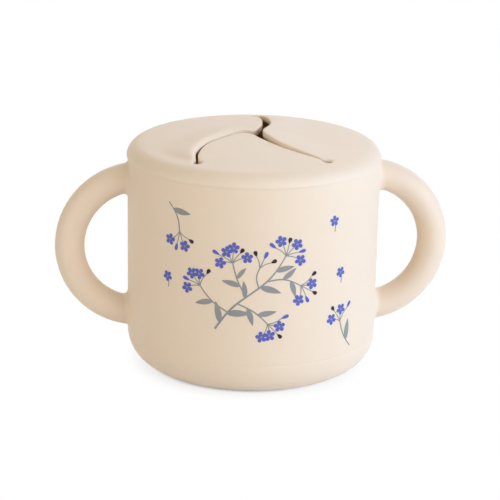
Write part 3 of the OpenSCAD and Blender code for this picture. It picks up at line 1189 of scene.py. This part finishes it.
def draw_pattern(art):
    """A leaning main branch with side twigs, two small sprigs and some single blossoms."""
    art.branch([(-18, 24.5), (-12.5, 32), (-6, 37.5), (0.5, 43), (5.5, 50.5)],
               [(0.08, 38, 7.5), (0.2, -42, 8), (0.45, 50, 6), (0.62, -48, 7.5),
                (0.84, -35, 6.5)], (5.4, "fbfdfb"))
    art.branch([(-7.5, 36.3), (-10.5, 42), (-12.2, 48)], [(0.35, 42, 6.5), (0.6, -50, 5)],
               (5.2, "fdffbf"), TWIG)
    art.branch([(-1.0, 41.7), (5, 42.3), (11, 39.7)], [(0.45, 40, 6), (0.7, -42, 6)],
               (5.0, "fbdfd"), TWIG)
    art.branch([(-13.6, 30.7), (-19.5, 34.5), (-23.5, 39)], [(0.5, 44, 6.5)],
               (5.0, "dffbf"), TWIG)
    art.branch([(-10.4, 33.9), (-4.5, 30.9), (-0.2, 26.9)], [(0.3, -38, 6.5), (0.65, 42, 6.5)],
               (5.0, "ffdfb"), TWIG)
    art.branch([(-3.4, 39.6), (-4.2, 43.5), (-3.2, 46.5)], [], (4.2, "dbd"), (0.45, 0.35))
    art.branch([(-36, 66), (-32.5, 61.5), (-31.5, 56.5)], [(0.25, 36, 7)], (5.2, "fbfd"), SPRIG)
    art.branch([(33, 14.5), (29.5, 19), (27.5, 24.5)], [(0.3, -36, 7.5)], (5.2, "bfdf"), SPRIG)
    for u, z, turn in ((23.5, 60.5, 20), (27, 42, -15), (-36.5, 40, 50)):
        art.blossom((u, z), turn, 1.9)
        art.stem([(u, z), (u + 0.5, z - 2), (u + 0.3, z - 3.8)], (0.5, 0.3))


# What the operators share


def frame_object(made, body, nodes=()):
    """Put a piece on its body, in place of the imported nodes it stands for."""
    if nodes:
        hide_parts(*nodes)
    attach(made, body)


def cup_material():
    look = bpy.context.scene.snack_cup.finish
    return bpy.data.materials.get("cup_silicone_soft") or silicone(
        "cup_silicone_soft", look.cup_colour, look.grain, look.painted_inner_glow)


def lid_material():
    look = bpy.context.scene.snack_cup.finish
    return bpy.data.materials.get("lid_silicone_soft") or silicone(
        "lid_silicone_soft", look.lid_colour, look.grain)


class SNACKCUP_OT_cup(bpy.types.Operator):
    """Build the cup: floor, rounded base corner, fine mould line, wall and rim"""

    bl_idname = "snack_cup.build_cup"
    bl_label = "Build cup"

    def execute(self, context):
        cup = sizes(context.scene.snack_cup.cup)
        points, faces = lathe(cup_outline(cup), TURNS)
        made = mesh_object("soft_cup", points, faces, cup_material())
        frame_object(made, "cup", ["cup_shell"])
        return {"FINISHED"}


class SNACKCUP_OT_handles(bpy.types.Operator):
    """Build the two loop handles, each grown out of the wall at both roots"""

    bl_idname = "snack_cup.build_handles"
    bl_label = "Build handles"

    def execute(self, context):
        cup = sizes(context.scene.snack_cup.cup)
        handles = sizes(context.scene.snack_cup.handles)
        for side, name in ((-1, "left_handle"), (1, "right_handle")):
            points, faces = tube_mesh(handle_points(cup, handles, side), side > 0)
            made = mesh_object("soft_" + name, points, faces, cup_material(), 60)
            frame_object(made, "cup", [name])
        return {"FINISHED"}


class SNACKCUP_OT_lid(bpy.types.Operator):
    """Build the lid: the domed crown round its flaps, and each flap as a piece of its own"""

    bl_idname = "snack_cup.build_lid"
    bl_label = "Build lid and flaps"

    def execute(self, context):
        lid = sizes(context.scene.snack_cup.lid)
        cup = sizes(context.scene.snack_cup.cup)
        plate = Plate(lid)
        points, faces = plate.build(-1, lid_profile(lid, cup))
        made = mesh_object("soft_lid", points, faces, lid_material())
        frame_object(made, "lid", ["lid_rim"])
        level = crown(0)
        for i, name in enumerate(FLAP_NAMES):
            points, faces = plate.build(i)
            made = mesh_object("soft_" + name, points, faces, lid_material())
            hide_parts(name)
            start, heading, inward = plate.hinges[i]
            mid = start + heading * HINGE_MIDDLE
            bend = plate.bend_from[i]
            near, far = (mid + inward * d for d in (bend, bend + BEND_OVER))
            near[0] * MM
            near[1] * MM
            level * MM
            far[0] * MM
            far[1] * MM
            level * MM
            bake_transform(made)
        return {"FINISHED"}


class SNACKCUP_OT_print(bpy.types.Operator):
    """Lay the printed pattern of blossoms, leaves and berries on the cup's wall"""

    bl_idname = "snack_cup.build_print"
    bl_label = "Build print"

    def execute(self, context):
        art = Print(sizes(context.scene.snack_cup.cup))
        draw_pattern(art)
        look = context.scene.snack_cup.finish
        for name, piece, colour in (("grey", "print_leaves", look.grey),
                                    ("blue", "print_blossoms", look.blue),
                                    ("dark", "print_berries", look.dark)):
            points, faces = art.films[name]
            made = mesh_object(piece, points, faces, ink("ink_" + name, colour), 30)
            frame_object(made, "cup")
        return {"FINISHED"}


# The stage, in metres and radians
CAMERA_AT = (-0.0962, -0.71509, 0.26377)
CAMERA_LENS = 155.49
CAMERA_PITCH = 0.3017
CAMERA_ROLL = -0.01945
VIEW_TURN = math.radians(7.6)  # the camera stands this far round to the left of the front
FLOOR_HALF = 4000  # half the width of the floor, in millimetres like every mesh
LAMP_SIZE = 0.8
LAMP_AWAY = 1.1
LIT_POINT = Vector((0, 0, 0.04))
# Name, turn from the camera's side and climb in degrees, and colour
LAMPS = (
    ("key", 40, 20, (0.88, 0.93, 1.0)),
    ("side", 75, 15, (0.47, 0.68, 1.0)),
    ("fill", -50, 20, (0.82, 0.84, 0.88)),
    ("back", 175, 40, (0.88, 0.9, 1.0)),
    ("top", 0, 88, (1.0, 0.97, 0.94)),
)
SURROUNDINGS = (1.0, 0.83, 0.5, 1)
# Where the floor's shade starts to fade and is gone, by distance from its centre, and how
# strong it is
SHADE_CENTRE = (-0.0015, -0.002, 0)
SHADE_FADES = ((0.0325, 0.0355, 2.0), (0.034, 0.0435, 1.0))


def area_light(name, power, turn, climb, colour):
    """A soft round lamp, turned from the camera's side of the cup and raised, in degrees."""
    lamp = bpy.data.lights.new(name, "AREA")
    lamp.shape = "DISK"
    lamp.size = LAMP_SIZE
    lamp.energy = power
    lamp.color = colour
    made = bpy.data.objects.new(name, lamp)
    around = math.radians(turn) - VIEW_TURN
    climb = math.radians(climb)
    away = Vector((math.sin(around) * math.cos(climb), -math.cos(around) * math.cos(climb),
                   math.sin(climb)))
    made.location = LIT_POINT + away * LAMP_AWAY
    made.rotation_mode = "QUATERNION"
    made.rotation_quaternion = (-away).to_track_quat("-Z", "Y")
    bpy.context.scene.collection.objects.link(made)


def seen_directly(finish):
    """1 where the eye, or a reflection or a clear piece, looks straight at it, else 0."""
    path = finish.node("ShaderNodeLightPath")
    bounced = finish.maths("MAXIMUM", path["Is Glossy Ray"], path["Is Transmission Ray"])
    return finish.maths("MAXIMUM", path["Is Camera Ray"], bounced)


class SNACKCUP_OT_stage(bpy.types.Operator):
    """Set the camera, the pale floor, the lights and the white surroundings"""

    bl_idname = "snack_cup.set_stage"
    bl_label = "Set stage"

    def execute(self, context):
        scene = context.scene
        stage = scene.snack_cup.stage
        camera = bpy.data.cameras.new("camera")
        camera.sensor_width = 36
        camera.lens = CAMERA_LENS
        camera.clip_end = 20
        eye = bpy.data.objects.new("camera", camera)
        pitch, yaw, roll = CAMERA_PITCH, VIEW_TURN, CAMERA_ROLL
        forward = Vector((math.cos(pitch) * math.sin(yaw), math.cos(pitch) * math.cos(yaw),
                          -math.sin(pitch)))
        right = Vector((math.cos(yaw), -math.sin(yaw), 0))
        up = right.cross(forward)
        level = right * math.cos(roll) - up * math.sin(roll)
        upright = right * math.sin(roll) + up * math.cos(roll)
        eye.matrix_world = Matrix.Translation(CAMERA_AT) @ Matrix(
            (level, upright, -forward)).transposed().to_4x4()
        scene.collection.objects.link(eye)
        scene.camera = eye

        corners = [(x * FLOOR_HALF, y * FLOOR_HALF, 0)
                   for x, y in ((-1, -1), (1, -1), (1, 1), (-1, 1))]
        floor = mesh_object(
            "floor", corners, [(0, 1, 2, 3)], self.floor_material(stage.floor_shade))

        for name, turn, climb, colour in LAMPS:
            area_light(name, getattr(stage, name + "_power"), turn, climb, colour)

        world = bpy.data.worlds.new("surroundings")
        scene.world = world
        finish = Finish(world)
        soft = finish.node("ShaderNodeBackground", None,
                           {"Color": SURROUNDINGS, "Strength": stage.ambient})
        white = finish.node("ShaderNodeBackground", None,
                            {"Color": (1, 1, 1, 1), "Strength": 1.0})
        mixed = finish.node("ShaderNodeMixShader", None, {
            "Fac": seen_directly(finish), 1: soft["Background"], 2: white["Background"]})
        finish.node("ShaderNodeOutputWorld", None, {"Surface": mixed["Shader"]})
        scene.view_settings.view_transform = "Standard"
        return {"FINISHED"}

    def floor_material(self, shade_part):
        """Paper that is plain white to the eye, apart from the shade close to the cup."""
        material = bpy.data.materials.new("pale_floor")
        finish = Finish(material)
        where = finish.node("ShaderNodeTexCoord")["Object"]
        away = finish.node("ShaderNodeVectorMath", {"operation": "DISTANCE"},
                           {0: where, 1: SHADE_CENTRE})["Value"]
        close, wide = (
            finish.node("ShaderNodeMapRange", {"interpolation_type": "SMOOTHSTEP"},
                        {"Value": away, "From Min": start, "From Max": end,
                         "To Min": shade_part * share, "To Max": 0.0})["Result"]
            for start, end, share in SHADE_FADES)
        paper = finish.node("ShaderNodeBsdfDiffuse", None, {"Color": (0.9, 0.9, 0.9, 1)})
        white = finish.node("ShaderNodeEmission", None,
                            {"Color": (1, 1, 1, 1), "Strength": 1.0})
        mixed = finish.node("ShaderNodeMixShader", None, {
            "Fac": seen_directly(finish) * (1 - (close + wide)),
            1: paper["BSDF"], 2: white["Emission"]})
        finish.node("ShaderNodeOutputMaterial", None, {"Surface": mixed["Shader"]})
        return material


class SNACKCUP_PT_sidebar(bpy.types.Panel):
    """Lists the steps that build the snack container"""

    bl_idname = "SNACKCUP_PT_sidebar"
    bl_label = "Snack cup"
    bl_space_type = "VIEW_3D"
    bl_region_type = "UI"
    bl_category = "Snack cup"

    def draw(self, context):
        layout = self.layout
        settings = context.scene.snack_cup
        for heading, group, operator in (
                ("Cup", settings.cup, "snack_cup.build_cup"),
                ("Handles", settings.handles, "snack_cup.build_handles"),
                ("Lid", settings.lid, "snack_cup.build_lid"),
                ("Finish", settings.finish, "snack_cup.build_print"),
                ("Stage", settings.stage, "snack_cup.set_stage")):
            box = layout.box()
            box.label(text=heading)
            for name in group.bl_rna.properties.keys():
                if name not in ("rna_type", "name"):
                    box.prop(group, name)
            box.operator(operator)


CLASSES = (
    SNACKCUP_PG_cup,
    SNACKCUP_PG_handles,
    SNACKCUP_PG_lid,
    SNACKCUP_PG_finish,
    SNACKCUP_PG_stage,
    SNACKCUP_PG_all,
    SNACKCUP_OT_cup,
    SNACKCUP_OT_handles,
    SNACKCUP_OT_lid,
    SNACKCUP_OT_print,
    SNACKCUP_OT_stage,
    SNACKCUP_PT_sidebar,
)


def register():
    for cls in CLASSES:
        bpy.utils.register_class(cls)
    bpy.types.Scene.snack_cup = bpy.props.PointerProperty(type=SNACKCUP_PG_all)


def unregister():
    del bpy.types.Scene.snack_cup
    for cls in reversed(CLASSES):
        bpy.utils.unregister_class(cls)


def main():
    register()
    bpy.ops.snack_cup.set_stage()
    bpy.ops.snack_cup.build_cup()
    bpy.ops.snack_cup.build_handles()
    bpy.ops.snack_cup.build_lid()
    bpy.ops.snack_cup.build_print()


if __name__ == "__main__":
    main()
